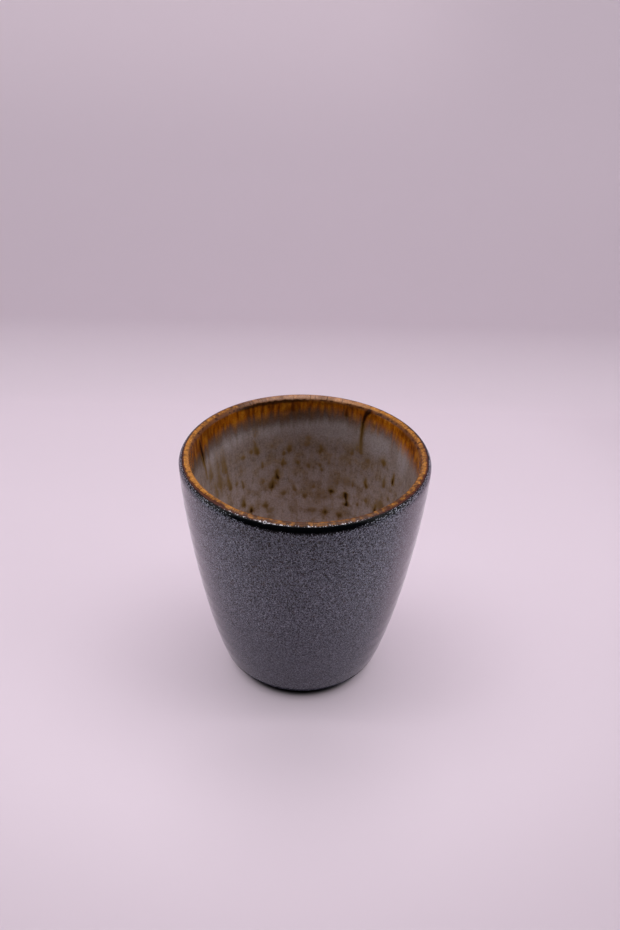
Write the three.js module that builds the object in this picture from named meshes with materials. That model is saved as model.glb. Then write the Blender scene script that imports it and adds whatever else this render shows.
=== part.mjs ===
// A handleless stoneware cup: one thrown clay body under three fired glaze coats.
// Millimetres. The finished cup stands on +Z, with its origin at the centre of the foot, on the table.
import * as THREE from "three";

// Finished sizes, over the glaze
const rimDiameter = 85;
const cupHeight = 86;

// Clay body
const footDiameter = 33; // outside of the flat ring that the cup stands on
const footRingWidth = 4.4;
const recessDepth = 1.5; // hollow turned out of the underside, inside the ring
const footRounding = 12; // radius from the ring up into the wall
const footFlare = 20.1; // degrees that the wall leans out just above the foot
const footPull = 22.7; // length over which the wall keeps that lean
const lipFlare = 2; // degrees that the wall leans out at the lip
const lipPull = 13; // length over which the wall keeps that lean
const lipThickness = 2.8; // the lip is a half round of this thickness
const baseThickness = 4.4; // wall at the foot, thinning to the lip
const floorThickness = 5;
const bowlHeight = 12; // height over which the inner wall rounds into the floor
const bowlFullness = 0.62; // 0 is a cone, 1 a square corner

// Glaze coats
const outerCoat = 0.5;
const lipCoat = 0.5;
const linerCoat = 0.5;
const bareFoot = 1; // height of clay left bare above the table
const lipWrap = 65; // degrees that the outer coat climbs round the lip, from level
const lipDepth = 6; // how far the lip coat reaches down the inner wall, from the rim

// Facets
const turnSegments = 48;
const lineSteps = 1;
const coveSteps = 3;
const bareSteps = 2;
const footSteps = 5;
const wallSteps = 11;
const outerLipSteps = 4;
const innerLipSteps = 5;
const innerRimSteps = 2;
const innerWallSteps = 8;
const bowlSteps = 7;
const searchSteps = 40; // halvings in the search for a height on the inner wall
const slopeStep = 0.01; // share of the inner wall over which its slope is taken

const footRadius = footDiameter / 2;
const ringInnerRadius = footRadius - footRingWidth;
const lipRadius = lipThickness / 2;
const lipCentre = new THREE.Vector2(
  rimDiameter / 2 - outerCoat - lipRadius,
  cupHeight - lipCoat - lipRadius,
);
const floorHeight = recessDepth + floorThickness;
const footLean = THREE.MathUtils.degToRad(footFlare);
const lipLean = THREE.MathUtils.degToRad(lipFlare);

// A point on a circle in the half section, where x is the radius and y the height
function onCircle(centre, radius, angle) {
  return new THREE.Vector2(Math.cos(angle), Math.sin(angle)).multiplyScalar(radius).add(centre);
}

// The way up a wall that leans out by an angle
function upward(lean) {
  return new THREE.Vector2(Math.sin(lean), Math.cos(lean));
}

// Outer face of the clay wall, from the foot rounding to the lip
const footCentre = new THREE.Vector2(footRadius, footRounding);
const wallBottom = onCircle(footCentre, footRounding, -footLean);
const wallTop = onCircle(lipCentre, lipRadius, -lipLean);
const wallCurve = new THREE.CubicBezierCurve(
  wallBottom,
  wallBottom.clone().addScaledVector(upward(footLean), footPull),
  wallTop.clone().addScaledVector(upward(lipLean), -lipPull),
  wallTop,
);

// Inner face of the clay wall: the outer face moved in by a thickness that eases from base to lip
function innerWall(t) {
  const along = wallCurve.getTangent(t);
  const inward = new THREE.Vector2(-along.y, along.x);
  const ease = THREE.MathUtils.smoothstep(t, 0, 1);
  const thickness = THREE.MathUtils.lerp(baseThickness, lipThickness, ease);
  return wallCurve.getPoint(t).addScaledVector(inward, thickness);
}

// The place along the inner wall at a height, by halving
function innerWallAt(height) {
  let low = 0;
  let high = 1;
  for (let i = 0; i < searchSteps; i++) {
    const middle = (low + high) / 2;
    if (innerWall(middle).y < height) low = middle;
    else high = middle;
  }
  return low;
}

// Bottom of the bowl, from the inner wall to the middle of the floor
function bowlCurve(top, floor) {
  const start = innerWall(top);
  const back = innerWall(top + slopeStep).sub(start);
  const reach = (bowlFullness * (start.y - floor)) / back.y;
  return new THREE.CubicBezierCurve(
    start,
    start.clone().addScaledVector(back, -reach),
    new THREE.Vector2(start.x * bowlFullness, floor),
    new THREE.Vector2(0, floor),
  );
}

// Half section of the clay, traced from the middle of the underside, up the outside, over the lip and
// down the inside to the middle of the floor. Each trace returns the place of its last point.
const section = [];
function trace(pointAt, from, to, steps) {
  for (let i = section.length ? 1 : 0; i <= steps; i++)
    section.push(pointAt(THREE.MathUtils.lerp(from, to, i / steps)));
  return section.length - 1;
}
const underside = new THREE.LineCurve(
  new THREE.Vector2(0, recessDepth),
  new THREE.Vector2(ringInnerRadius - recessDepth, recessDepth),
);
const standing = new THREE.LineCurve(
  new THREE.Vector2(ringInnerRadius, 0),
  new THREE.Vector2(footRadius, 0),
);
const coveCentre = new THREE.Vector2(ringInnerRadius - recessDepth, 0);
const coveAt = (angle) => onCircle(coveCentre, recessDepth, angle);
const footAt = (angle) => onCircle(footCentre, footRounding, angle);
const lipAt = (angle) => onCircle(lipCentre, lipRadius, angle);
const bareAngle = Math.asin(bareFoot / footRounding - 1);
const wrapAngle = THREE.MathUtils.degToRad(lipWrap);
const lipEnd = innerWallAt(cupHeight - lipDepth);
const bowlTop = innerWallAt(floorHeight + bowlHeight);
const bowl = bowlCurve(bowlTop, floorHeight);

trace((t) => underside.getPoint(t), 0, 1, lineSteps);
trace(coveAt, Math.PI / 2, 0, coveSteps);
trace((t) => standing.getPoint(t), 0, 1, lineSteps);
const glazeLine = trace(footAt, -Math.PI / 2, bareAngle, bareSteps);
trace(footAt, bareAngle, -footLean, footSteps);
trace((t) => wallCurve.getPoint(t), 0, 1, wallSteps);
const outerSeam = trace(lipAt, -lipLean, wrapAngle, outerLipSteps);
trace(lipAt, wrapAngle, Math.PI - lipLean, innerLipSteps);
const innerSeam = trace(innerWall, 1, lipEnd, innerRimSteps);
trace(innerWall, lipEnd, bowlTop, innerWallSteps);
const floorMiddle = trace((t) => bowl.getPoint(t), 0, 1, bowlSteps);

// The way out of the clay at a point of the section: square to its neighbours, and upright on the axis
function outward(i) {
  const before = section[Math.max(i - 1, 0)];
  const after = section[Math.min(i + 1, section.length - 1)];
  const along = after.clone().sub(before);
  const out = new THREE.Vector2(along.y, -along.x);
  if (i === floorMiddle) out.x = 0;
  return out.normalize();
}

// Half section of a coat that lies on the clay from one point of its section to another
function coat(first, last, thickness) {
  const clay = section.slice(first, last + 1);
  const face = clay.map((p, i) => p.clone().addScaledVector(outward(first + i), thickness));
  const outline = [...clay.reverse(), ...face];
  if (outline[0].x > 0) outline.push(outline[0].clone());
  return outline;
}

const clayFinish = new THREE.MeshStandardMaterial({ color: 0x8a7663, roughness: 0.9, metalness: 0 });
const darkFinish = new THREE.MeshStandardMaterial({ color: 0x3e3d45, roughness: 0.35, metalness: 0 });
const amberFinish = new THREE.MeshStandardMaterial({ color: 0x8a5320, roughness: 0.25, metalness: 0 });
const greyFinish = new THREE.MeshStandardMaterial({ color: 0x6b605f, roughness: 0.3, metalness: 0 });

function turned(name, outline, finish) {
  const mesh = new THREE.Mesh(new THREE.LatheGeometry(outline, turnSegments), finish);
  mesh.name = name;
  return mesh;
}

// A lathe turns about +Y, so the cup is tipped up to stand on +Z
const cup = new THREE.Group();
cup.rotation.x = Math.PI / 2;
cup.add(
  turned("stoneware_body", section, clayFinish),
  turned("outer_glaze", coat(glazeLine, outerSeam, outerCoat), darkFinish),
  turned("lip_glaze", coat(outerSeam, innerSeam, lipCoat), amberFinish),
  turned("liner_glaze", coat(innerSeam, floorMiddle, linerCoat), greyFinish),
);

export default cup;
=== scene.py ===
# A handleless stoneware cup: a thrown clay body under a dark speckled glaze outside, an amber glaze
# on the lip and a grey glaze with brown runs inside. Lengths are millimetres until they reach a mesh.
import math

import bpy
import numpy as np
from mathutils import Matrix, Vector


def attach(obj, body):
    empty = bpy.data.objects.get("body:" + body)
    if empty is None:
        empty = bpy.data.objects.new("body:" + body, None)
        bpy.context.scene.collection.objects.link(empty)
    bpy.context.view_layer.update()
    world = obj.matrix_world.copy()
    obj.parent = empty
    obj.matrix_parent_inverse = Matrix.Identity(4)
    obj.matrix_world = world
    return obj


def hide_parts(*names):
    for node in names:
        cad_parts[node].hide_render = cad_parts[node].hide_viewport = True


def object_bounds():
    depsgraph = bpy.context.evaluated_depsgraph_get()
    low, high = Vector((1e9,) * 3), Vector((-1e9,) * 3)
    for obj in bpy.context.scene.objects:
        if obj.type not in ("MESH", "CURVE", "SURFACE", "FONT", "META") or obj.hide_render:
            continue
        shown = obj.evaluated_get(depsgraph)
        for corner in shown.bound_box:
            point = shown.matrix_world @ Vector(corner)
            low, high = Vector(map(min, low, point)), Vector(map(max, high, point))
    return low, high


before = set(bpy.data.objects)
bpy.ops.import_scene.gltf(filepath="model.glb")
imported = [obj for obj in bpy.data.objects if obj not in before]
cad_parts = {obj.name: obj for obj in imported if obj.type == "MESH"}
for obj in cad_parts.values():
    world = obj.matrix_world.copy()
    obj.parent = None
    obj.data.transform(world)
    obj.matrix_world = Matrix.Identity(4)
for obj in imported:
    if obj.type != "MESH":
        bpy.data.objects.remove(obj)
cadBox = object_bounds()
mm = 0.001
rimRadius = cadBox[1].x / mm
cupHeight = cadBox[1].z / mm
print("frame loaded:", ", ".join(sorted(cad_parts)))


# Camera, at the photograph's place and angle
photoCamera = {
    "lens": 50.0,  # on a 36 mm sensor
    "place": (0.0, -367.7, 316.1),
    "down": 32.48,  # degrees
    "right": 0.256,
    "roll": 1.47,
    "nearest": 10.0,  # mm, nothing nearer is drawn
}


def addCamera(settings):
    # ahead points down and to the right by those angles, and the other two axes are square to it
    down, right, roll = (math.radians(settings[k]) for k in ("down", "right", "roll"))
    ahead = np.array([math.sin(right) * math.cos(down), math.cos(right) * math.cos(down), -math.sin(down)])
    across = np.array([math.cos(right), -math.sin(right), 0.0])
    up = np.cross(across, ahead)
    sideways = math.cos(roll) * across + math.sin(roll) * up  # the two axes turned together by the roll
    upright = math.cos(roll) * up - math.sin(roll) * across
    camera = bpy.data.objects.new("photoCamera", bpy.data.cameras.new("photoCamera"))
    bpy.context.scene.collection.objects.link(camera)
    camera.data.lens = settings["lens"]
    camera.data.clip_start = settings["nearest"] * mm
    turn = Matrix(np.stack([sideways, upright, -ahead], axis=1).tolist()).to_4x4()
    camera.matrix_world = Matrix.Translation([v * mm for v in settings["place"]]) @ turn
    bpy.context.scene.camera = camera


addCamera(photoCamera)
print("camera placed")


# Half section of the clay, in millimetres and degrees
cupShape = {
    "footRing": 16.5,  # outer radius of the flat ring that the cup stands on
    "ringWidth": 4.4,
    "recess": 1.5,  # depth of the hollow inside the ring
    "footRounding": 12.0,
    "footLean": 20.1,  # lean of the wall just above the foot
    "footPull": 22.7,  # length over which the wall keeps that lean
    "lipLean": 2.0,
    "lipPull": 13.0,
    "lipThickness": 2.8,
    "baseThickness": 4.4,
    "floorThickness": 5.0,
    "bowlHeight": 12.0,  # height over which the inner wall rounds into the floor
    "bowlFullness": 0.62,
    "coat": 0.5,  # thickness of a glaze coat
    "bareFoot": 1.0,  # height of bare clay above the table
    "lipWrap": 65.0,  # how far the outer coat climbs round the lip, from level
    "lipDepth": 6.0,  # how far the lip coat reaches down inside
    "curveSteps": 400,
    "spacing": 0.02,  # between the points of the finished section
    "smoothing": 0.3,  # length over which the section's direction is averaged
}


def ease(value, low, high):
    # smooth step: 0 below low, 1 above high, 3t^2 - 2t^3 between
    t = np.clip((value - low) / (high - low), 0, 1)
    return t * t * (3 - 2 * t)


def bezier(corners, steps):
    # cubic Bezier: the four corners weighted by the Bernstein polynomials of t
    t = np.linspace(0, 1, steps)[:, None]
    a, b, c, d = np.asarray(corners, float)
    return (1 - t) ** 3 * a + 3 * (1 - t) ** 2 * t * b + 3 * (1 - t) * t**2 * c + t**3 * d


def arc(centre, radius, start, end, steps):
    # points of a circle between two angles, in degrees from level
    angle = np.radians(np.linspace(start, end, steps))
    return np.asarray(centre) + radius * np.stack([np.cos(angle), np.sin(angle)], axis=1)


def unit(vectors):
    # each vector over its length
    return vectors / np.linalg.norm(vectors, axis=-1, keepdims=True)


def evenly(line, spacing):
    # the same line, with its points a fixed length apart
    length = np.concatenate([[0], np.cumsum(np.linalg.norm(np.diff(line, axis=0), axis=1))])
    places = np.linspace(0, length[-1], int(length[-1] / spacing) + 1)
    return np.stack([np.interp(places, length, line[:, k]) for k in (0, 1)], axis=1)


def claySection(shape):
    # half section as (radius, height): the underside from the axis to the glaze line, and the rest from
    # there up the outside, over the lip and down the inside to the middle of the floor
    steps = shape["curveSteps"]
    lipRadius = shape["lipThickness"] / 2
    lipCentre = np.array([rimRadius, cupHeight]) - shape["coat"] - lipRadius
    footCentre = np.array([shape["footRing"], shape["footRounding"]])
    floor = shape["recess"] + shape["floorThickness"]
    ringInner = shape["footRing"] - shape["ringWidth"]
    cove = np.array([ringInner - shape["recess"], 0.0])
    glazeAngle = math.degrees(math.asin(shape["bareFoot"] / shape["footRounding"] - 1))
    wallStart = arc(footCentre, shape["footRounding"], -shape["footLean"], 0, 2)[0]
    wallEnd = arc(lipCentre, lipRadius, -shape["lipLean"], 0, 2)[0]
    leans = np.radians([shape["footLean"], shape["lipLean"]])
    footWay, lipWay = np.stack([np.sin(leans), np.cos(leans)], axis=1)
    footCorner = wallStart + footWay * shape["footPull"]
    lipCorner = wallEnd - lipWay * shape["lipPull"]
    wall = bezier([wallStart, footCorner, lipCorner, wallEnd], steps)
    along = unit(np.gradient(wall, axis=0))
    inward = np.stack([-along[:, 1], along[:, 0]], axis=1)
    thinning = ease(np.linspace(0, 1, steps), 0, 1)[:, None]
    thickness = shape["baseThickness"] + (shape["lipThickness"] - shape["baseThickness"]) * thinning
    inner = (wall + inward * thickness)[::-1]
    inner = inner[inner[:, 1] > floor + shape["bowlHeight"]]
    slope = (inner[-1] - inner[-2]) / (inner[-2, 1] - inner[-1, 1])
    full = shape["bowlFullness"]
    reach = full * (inner[-1, 1] - floor)
    bowl = bezier([inner[-1], inner[-1] + slope * reach, [inner[-1, 0] * full, floor], [0, floor]], steps)
    underside = np.concatenate([
        [[0, shape["recess"]]],
        arc(cove, shape["recess"], 90, 0, steps),
        [[shape["footRing"], 0]],
        arc(footCentre, shape["footRounding"], -90, glazeAngle, steps)[1:],
    ])
    rest = np.concatenate([
        arc(footCentre, shape["footRounding"], glazeAngle, -shape["footLean"], steps),
        wall[1:],
        arc(lipCentre, lipRadius, -shape["lipLean"], 180 - shape["lipLean"], steps)[1:],
        inner[1:],
        bowl[1:],
    ])
    return evenly(underside, shape["spacing"]), evenly(rest, shape["spacing"])


def finishedSection(shape, clay):
    # the glaze's face: the clay moved out, square to itself, by the coat. along is the length over the
    # face from the crest of the lip, negative outside and positive inside
    window = int(shape["smoothing"] / shape["spacing"]) | 1
    way = np.gradient(clay, axis=0)
    padded = np.pad(way, ((window // 2, window // 2), (0, 0)), mode="edge")
    average = np.ones(window) / window
    way = np.stack([np.convolve(padded[:, k], average, mode="valid") for k in (0, 1)], axis=1)
    out = unit(np.stack([way[:, 1], -way[:, 0]], axis=1))
    out[-1] = (0, 1)
    face = clay + shape["coat"] * out
    along = np.concatenate([[0], np.cumsum(np.linalg.norm(np.diff(face, axis=0), axis=1))])
    return {"clay": clay, "face": face, "out": out, "along": along - along[np.argmax(face[:, 1])]}


underside, upperClay = claySection(cupShape)
section = finishedSection(cupShape, upperClay)
glazeLine = section["along"][0]
floorMiddle = section["along"][-1]
lipAngle = np.degrees(np.arctan2(section["out"][:, 1], section["out"][:, 0]))
nearLip = np.abs(section["along"]) < cupShape["lipDepth"]
outerSeam = np.interp(cupShape["lipWrap"], lipAngle[nearLip], section["along"][nearLip])
inside = section["along"] > 0
innerSeam = np.interp(cupShape["lipDepth"], cupHeight - section["clay"][inside, 1], section["along"][inside])
print(f"section worked out, in mm from the crest: glaze line {glazeLine:.1f}, seams {outerSeam:.2f}",
      f"and {innerSeam:.2f}, middle of the floor {floorMiddle:.1f}")


# Noise that closes on itself round the cup
def waves(turn, counts, size, seed):
    # sum of cosines that go a whole number of times round, each with a seeded phase and a size of
    # size / count
    phases = np.random.default_rng(seed).uniform(0, 2 * math.pi, len(counts))
    return sum(size / n * np.cos(n * turn + p) for n, p in zip(counts, phases))


def clouds(turn, along, cellsRound, cellLength, seed):
    # value noise: seeded heights from 0 to 1 on a lattice that closes round the cup, joined by smooth steps
    top = along.min()
    rows = int((along.max() - top) / cellLength) + 3
    lattice = np.random.default_rng(seed).random((rows, cellsRound))
    u = (turn / (2 * math.pi) % 1) * cellsRound
    v = (along - top) / cellLength
    i, j = v.astype(int), u.astype(int) % cellsRound
    a, b = ease(v - i, 0, 1), ease(u - np.floor(u), 0, 1)
    right = (j + 1) % cellsRound
    upper = lattice[i, j] * (1 - b) + lattice[i, right] * b
    lower = lattice[i + 1, j] * (1 - b) + lattice[i + 1, right] * b
    return upper * (1 - a) + lower * a


# Unevenness of a cup turned by hand: the rim is slightly tilted and oval, the wall slightly ringed
handMade = {
    "tilt": 0.12,  # rise of the rim above level, each side
    "tiltTowards": -60.0,  # degrees round from the back
    "oval": 0.1,
    "ovalTowards": 20.0,
    "rings": 0.03,  # height of the throwing rings
    "ringPitch": 6.5,
    # waves round the cup, as how many times each goes round, size and seed
    "ringDrift": ((1, 2, 3), 1.5, 13),  # of the rings' phase
    "widerRipple": ((3, 5), 0.05, 11),
    "higherRipple": ((4, 7), 0.05, 12),
    "stillWithin": 10.0,  # radius over which all of this fades to nothing on the axis
}


def uneven(turn, height):
    # outward and upward shift of the whole wall, growing with the square of the height
    share = (height / cupHeight) ** 2
    oval = handMade["oval"] * np.cos(2 * (turn - math.radians(handMade["ovalTowards"])))
    tilt = handMade["tilt"] * np.cos(turn - math.radians(handMade["tiltTowards"]))
    wider = share * (oval + waves(turn, *handMade["widerRipple"]))
    higher = share * (tilt + waves(turn, *handMade["higherRipple"]))
    return wider, higher


def rings(turn, along):
    # throwing rings: a sine along the section whose phase drifts round the cup
    drift = waves(turn, *handMade["ringDrift"])
    return handMade["rings"] * np.sin(2 * math.pi * along / handMade["ringPitch"] + drift)


def surface(along, turn, lift, side="face"):
    # point of the section at a length along it, moved out by lift and swung round the axis: turn 0 is the
    # back of the cup, and it grows to the right
    radius, height = (np.interp(along, section["along"], section[side][:, k]) for k in (0, 1))
    outR, outZ = (np.interp(along, section["along"], section["out"][:, k]) for k in (0, 1))
    radius, height = radius + outR * lift, height + outZ * lift
    wider, higher = uneven(turn, height)
    fade = np.clip(radius / handMade["stillWithin"], 0, 1)
    radius, height = radius + wider * fade, height + higher * fade
    return np.stack([radius * np.sin(turn), radius * np.cos(turn), height], axis=-1)


sharpFrom = 50.0  # degrees between two faces, past which their edge stays sharp


def addShell(name, points, poles, marks=None):
    # closed mesh from a grid of points: rows join round the axis, and the last row joins the first, or with
    # poles the first and last rows are each one point. marks are named values on the points
    rows, columns = points.shape[:2]
    if poles:
        middle = np.arange((rows - 2) * columns).reshape(rows - 2, columns)
        last = middle.size
        following = np.roll(middle, -1, axis=1)
        quads = np.stack([middle[:-1], middle[1:], following[1:], following[:-1]], axis=-1).reshape(-1, 4)
        fans = np.concatenate([
            np.stack([np.full(columns, last), middle[0], following[0]], axis=-1),
            np.stack([middle[-1], np.full(columns, last + 1), following[-1]], axis=-1),
        ])
        faces = quads.tolist() + fans.tolist()
        flat = lambda grid: np.concatenate([
            grid[1:-1].reshape(-1, *grid.shape[2:]), grid[0, :1], grid[-1, :1],
        ])
    else:
        ring = np.arange(rows * columns).reshape(rows, columns)
        below, following = np.roll(ring, -1, axis=0), np.roll(ring, -1, axis=1)
        across = np.roll(below, -1, axis=1)
        faces = np.stack([ring, below, across, following], axis=-1).reshape(-1, 4).tolist()
        flat = lambda grid: grid.reshape(-1, *grid.shape[2:])
    mesh = bpy.data.meshes.new(name)
    mesh.from_pydata((flat(points) * mm).tolist(), [], faces)
    for mark, values in (marks or {}).items():
        mesh.attributes.new(mark, "FLOAT", "POINT").data.foreach_set("value", flat(values).astype(np.float32))
    mesh.shade_smooth()
    mesh.set_sharp_from_angle(angle=math.radians(sharpFrom))
    piece = bpy.data.objects.new(name, mesh)
    bpy.context.scene.collection.objects.link(piece)
    return piece


def stack(*stretches):
    # places of rows, from stretches of (start, end, spacing) that follow on each other
    ends = [np.linspace(a, b, max(2, round(abs(b - a) / gap) + 1)) for a, b, gap in stretches]
    return np.concatenate([*[e[:-1] for e in ends[:-1]], ends[-1]])


# Clay body: fine where it is bare, coarse under the glaze
clayBody = {
    "columns": 360,
    "underRows": 0.3,
    "coveredRows": 3.0,
    "tooling": 0.05,  # height of the turning marks in the recess, their pitch and the drift of their phase
    "toolPitch": 1.6,
    "toolDrift": ((1, 2), 1.0, 21),
    "toolEdge": (3.0, 1.0),  # from the edge of the recess, where they begin to fade and are gone
    "toolMiddle": 3.0,  # radius over which they fade to nothing on the axis
}


def makeClayBody(settings):
    # the underside, with turning marks that are a sine of the radius, and the rest of the section from there
    turn = np.linspace(0, 2 * math.pi, settings["columns"], endpoint=False)[None, :]
    step = int(settings["underRows"] / cupShape["spacing"])
    radius, height = underside[::step, :1], underside[::step, 1:]
    phase = 2 * math.pi * radius / settings["toolPitch"] + waves(turn, *settings["toolDrift"])
    recessEdge = cupShape["footRing"] - cupShape["ringWidth"] - cupShape["recess"]
    fadeFrom, fadeTo = (recessEdge - v for v in settings["toolEdge"])
    inRecess = (1 - ease(radius, fadeFrom, fadeTo)) * np.clip(radius / settings["toolMiddle"], 0, 1)
    tooled = settings["tooling"] * np.sin(phase) * inRecess
    below = np.stack([radius * np.sin(turn), radius * np.cos(turn), height + tooled], axis=-1)
    covered = stack((glazeLine, floorMiddle, settings["coveredRows"]))[:, None]
    above = surface(covered + 0 * turn, turn + 0 * covered, 0, "clay")
    return addShell("thrown_clay_body", np.concatenate([below, above]), poles=True)


# Values round the cup, by degrees from the back and to the right
roundCup = {
    # where the black on the outer shoulder of the lip ends, in mm along the section from the crest
    "blackEnd": {
        -180: -4.05, -165: -3.85, -152: -3.15, -138: -2.45, -120: -1.8, -100: -1.3, 100: -1.3, 120: -1.7,
        138: -2.4, 152: -3.2, 165: -4.0,
    },
    # how strong the painted sheen on the glaze outside is, a pinkish tint where its sides mirror the paper
    "frost": {
        -180: 0.0, -165: 0.0, -150: 0.06, -138: 0.2, -125: 0.45, -112: 0.75, -95: 0.8, -60: 0.45, 0: 0.3,
        60: 0.45, 100: 0.8, 120: 0.8, 128: 0.6, 138: 0.18, 152: 0.0,
    },
    # how many pale dots are painted in its seam with the lip glaze as the lamp's glints
    "sparks": {
        -180: 1.0, -154: 0.9, -146: 0.5, -138: 0.1, -130: 0.0, 138: 0.0, 147: 0.15, 154: 0.45, 163: 0.95,
    },
    # where the amber ends inside, in mm along the section from the crest
    "amberEnd": {
        -180: 7.8, -100: 8.6, -70: 10.2, -50: 8.7, -30: 8.7, -8: 8.4, 4: 7.1, 14: 6.5, 30: 7.2, 50: 7.3,
        70: 9.0, 100: 8.4,
    },
    # how dark the line on the inner shoulder is, then the veil below the amber, then the amber itself
    "line": {-180: 0.0, -60: 0.0, -42: 0.2, -34: 1.0, -5: 1.0, 3: 0.35, 28: 0.35, 40: 0.0},
    "veil": {
        -180: 0.5, -100: 0.6, -75: 1.0, -60: 0.9, -48: 0.75, -30: 1.0, -8: 1.0, 8: 0.75, 20: 0.5, 35: 0.35,
        50: 0.3, 66: 0.1, 90: 0.2,
    },
    "burnt": {
        -180: 0.4, -90: 0.5, -75: 0.55, -60: 0.45, -42: 0.3, -30: 0.34, 0: 0.3, 14: 0.18, 30: 0.06, 52: 0.02,
        66: 0.1, 76: 0.26,
    },
    # how bright the ochre on the crest is, where it turns brown outside and how much further in it reaches
    "crest": {
        -180: 0.7, -168: 0.56, -154: 0.9, -138: 0.9, -120: 1.06, -97: 1.16, -75: 0.98, -55: 0.98, -31: 0.68,
        -15: 0.64, 17: 1.05, 40: 1.08, 67: 1.02, 85: 0.88, 115: 0.88, 138: 0.72, 153: 0.64, 168: 0.62,
    },
    "edge": {
        -180: -0.75, -168: -0.45, -154: -0.2, -140: 0.15, -120: 0.0, -97: -0.2, -70: -0.3, 0: -0.4, 80: -0.3,
        100: -0.1, 138: -0.1, 153: -0.4, 167: -0.7,
    },
    "wide": {
        -180: 0.8, -120: 0.8, -97: 0.5, -80: 0.0, -45: -0.15, -30: 0.5, -8: 0.65, 15: 0.6, 32: 0.2, 45: 0.0,
        75: 0.0, 97: 0.5, 120: 0.8,
    },
    # how much thicker the lip is inside, in mm
    "bead": {
        -180: 0.5, -150: 0.55, -135: 0.75, -115: 0.5, -90: 0.0, 90: 0.0, 115: 0.45, 130: 0.55, 150: 0.42,
    },
}


def roundAt(name, turn):
    # the values above, joined by straight lines round the cup
    values = roundCup[name]
    return np.interp(np.degrees(turn), list(values), list(values.values()), period=360)


# Outer coat: rolls over to nothing at its wavy lower edge, and meets the lip coat at a wavy seam
outerCoat = {
    "columns": 600,
    "wallRows": 1.0,
    "lipRows": 0.12,
    "lipZone": 5.0,
    "backRows": 4.0,
    "edgeRows": 0.24,  # finer rows above the lower edge, over this zone
    "edgeZone": 3.0,
    "edgeFade": 4.0,  # height over which the edge's waves die out
    "edgeWave": 0.25,
    "edgeUneven": ((2, 3, 7, 11), 1.6, 32),  # how the waves differ round the cup
    "edgeRoll": 0.7,  # length over which the lower edge rounds down to the clay
    "edgeLeft": 0.08,  # thickness left at the very edge
    "seamWave": ((3, 5, 8, 13, 21), 0.35, 31),
    "swell": 0.06,  # slow thick and thin places in the coat
    "swellCells": (22, 11.0, 33),  # how many go round the cup, their height and their seed
}


def seamAt(turn):
    # the seam between the outer coat and the lip coat, as a length from the crest
    return outerSeam + waves(turn, *outerCoat["seamWave"])


def makeOuterCoat(settings):
    # face from the lower edge, a quarter round, up to the seam, and from there the back down along the clay
    turn = np.linspace(0, 2 * math.pi, settings["columns"], endpoint=False)[None, :]
    edgeTop, lipStart = glazeLine + settings["edgeZone"], outerSeam - settings["lipZone"]
    rows = stack(
        (glazeLine, edgeTop, settings["edgeRows"]),
        (edgeTop, lipStart, settings["wallRows"]),
        (lipStart, outerSeam, settings["lipRows"]),
    )[:, None]
    backRows = stack((outerSeam, glazeLine, settings["backRows"]))[:, None]
    seamShift = seamAt(turn) - outerSeam
    footShift = settings["edgeWave"] * (1 + waves(turn, *settings["edgeUneven"]))
    nearFoot = 1 - ease(rows, glazeLine, glazeLine + settings["edgeFade"])
    nearSeam = ease(rows, lipStart, outerSeam)
    along = rows + nearFoot * footShift + nearSeam * seamShift
    backAlong = backRows + ease(backRows, lipStart, outerSeam) * seamShift
    turned = turn + 0 * along
    rise = np.clip((rows - glazeLine) / settings["edgeRoll"], 0, 1)
    roll = np.sqrt(1 - (1 - rise) ** 2)  # quarter round
    body = settings["edgeLeft"] + (cupShape["coat"] - settings["edgeLeft"]) * roll
    swell = settings["swell"] * (clouds(turned, along, *settings["swellCells"]) - 0.5)
    swell = swell * ease(rows, glazeLine, edgeTop) + rings(turned, along) * (1 - nearFoot)
    face = surface(along, turned, body - cupShape["coat"] + swell * (1 - nearSeam))
    back = surface(backAlong, turn + 0 * backAlong, 0, "clay")
    depth = np.concatenate([along, backAlong])
    allTurned = turn + 0 * depth
    marks = {"depth": depth, "past": depth - roundAt("blackEnd", allTurned)}
    marks |= {k: roundAt(k, allTurned) for k in ("frost", "sparks")}
    return addShell("dark_outer_glaze", np.concatenate([face, back]), poles=False, marks=marks)


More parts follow.
